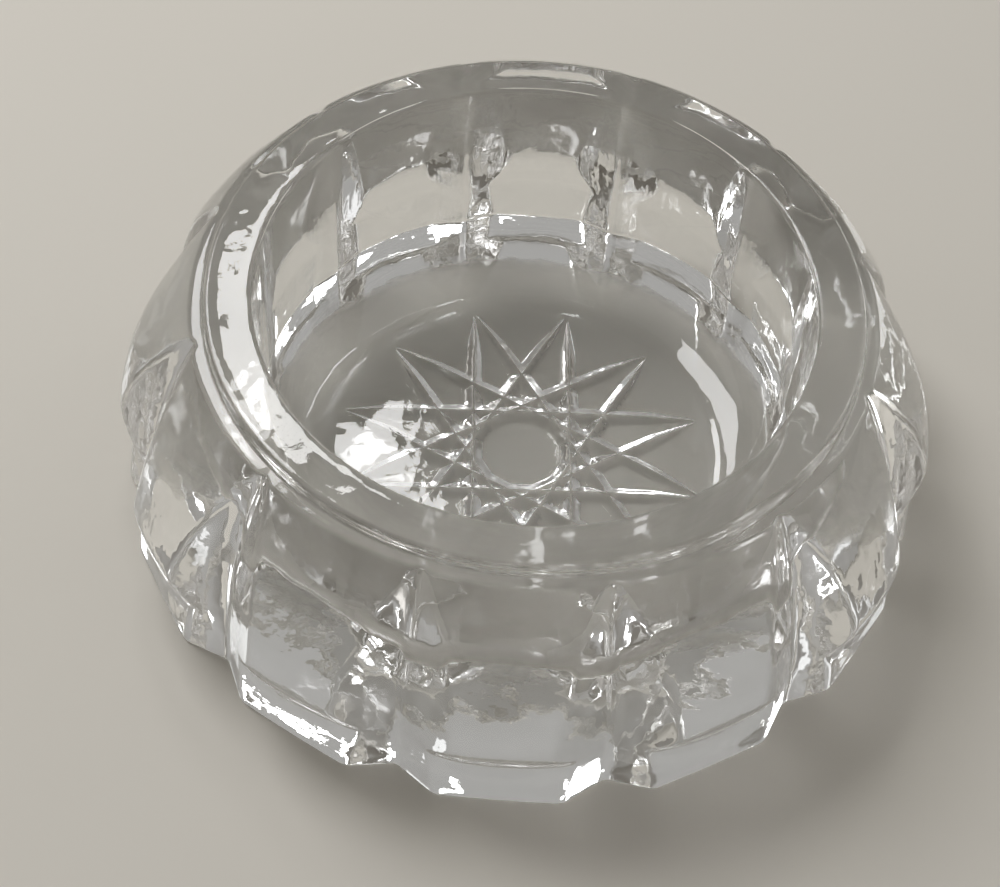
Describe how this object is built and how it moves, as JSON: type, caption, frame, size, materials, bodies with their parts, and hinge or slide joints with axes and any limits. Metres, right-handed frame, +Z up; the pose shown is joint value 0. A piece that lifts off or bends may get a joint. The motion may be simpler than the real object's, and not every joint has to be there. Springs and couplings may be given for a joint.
{
  "type": "dappen dish",
  "caption": "Small round clear-glass dish with a flat-topped rim, a deep round-cornered well, pillow-shaped lobes parted by V flutes, and a star of crossing grooves under the floor.",
  "frame": {"origin": "centre of the plane the feet rest on, on the dish's axis", "axes": "+Z up along the dish's axis out of the bowl, -Y through the middle of one lobe"},
  "size_m": [0.0594, 0.0593, 0.0196],
  "materials": {
    "clear_glass": "fire-polished pressed clear glass with a faint waviness"
  },
  "bodies": {
    "root": {"dish_body": "clear_glass"}
  },
  "joints": []
}
